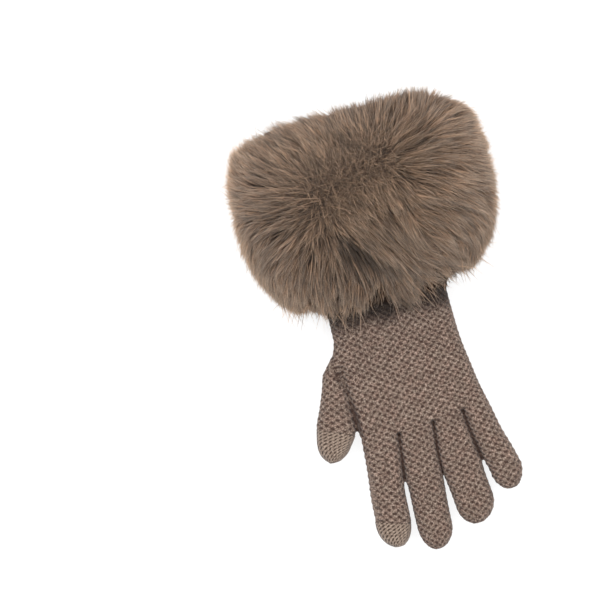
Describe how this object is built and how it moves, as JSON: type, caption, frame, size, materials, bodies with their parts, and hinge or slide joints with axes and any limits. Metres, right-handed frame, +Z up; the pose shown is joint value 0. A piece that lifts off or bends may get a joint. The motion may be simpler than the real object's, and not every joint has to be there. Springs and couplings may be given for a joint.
{
  "type": "fur-cuff knit glove",
  "caption": "Knitted dress glove lying flat, its fingers empty and its wrist set in a deep long-pile fur cuff.",
  "frame": {"origin": "on the surface the glove lies on, under the middle of its outline", "axes": "+Z up from the surface; +Y from the fingertips to the mouth of the fur cuff; the thumb is on the -X side"},
  "size_m": [0.1704, 0.2858, 0.0655],
  "materials": {
    "knit": "heathered taupe wool yarn in a staggered tuck stitch, matt and slightly hairy",
    "cap_knit": "plain stockinette in a finer, paler yarn, matt with a faint sheen",
    "fur": "long soft pile, dark at the roots and pale at the tips, with a silky sheen along the hair"
  },
  "bodies": {
    "root": {"palm": "knit", "sleeve": "knit", "index_finger": "knit", "middle_finger": "knit", "ring_finger": "knit", "little_finger": "knit", "thumb": "knit", "index_tip": "cap_knit", "thumb_tip": "cap_knit", "fur_cuff": "fur"}
  },
  "joints": []
}
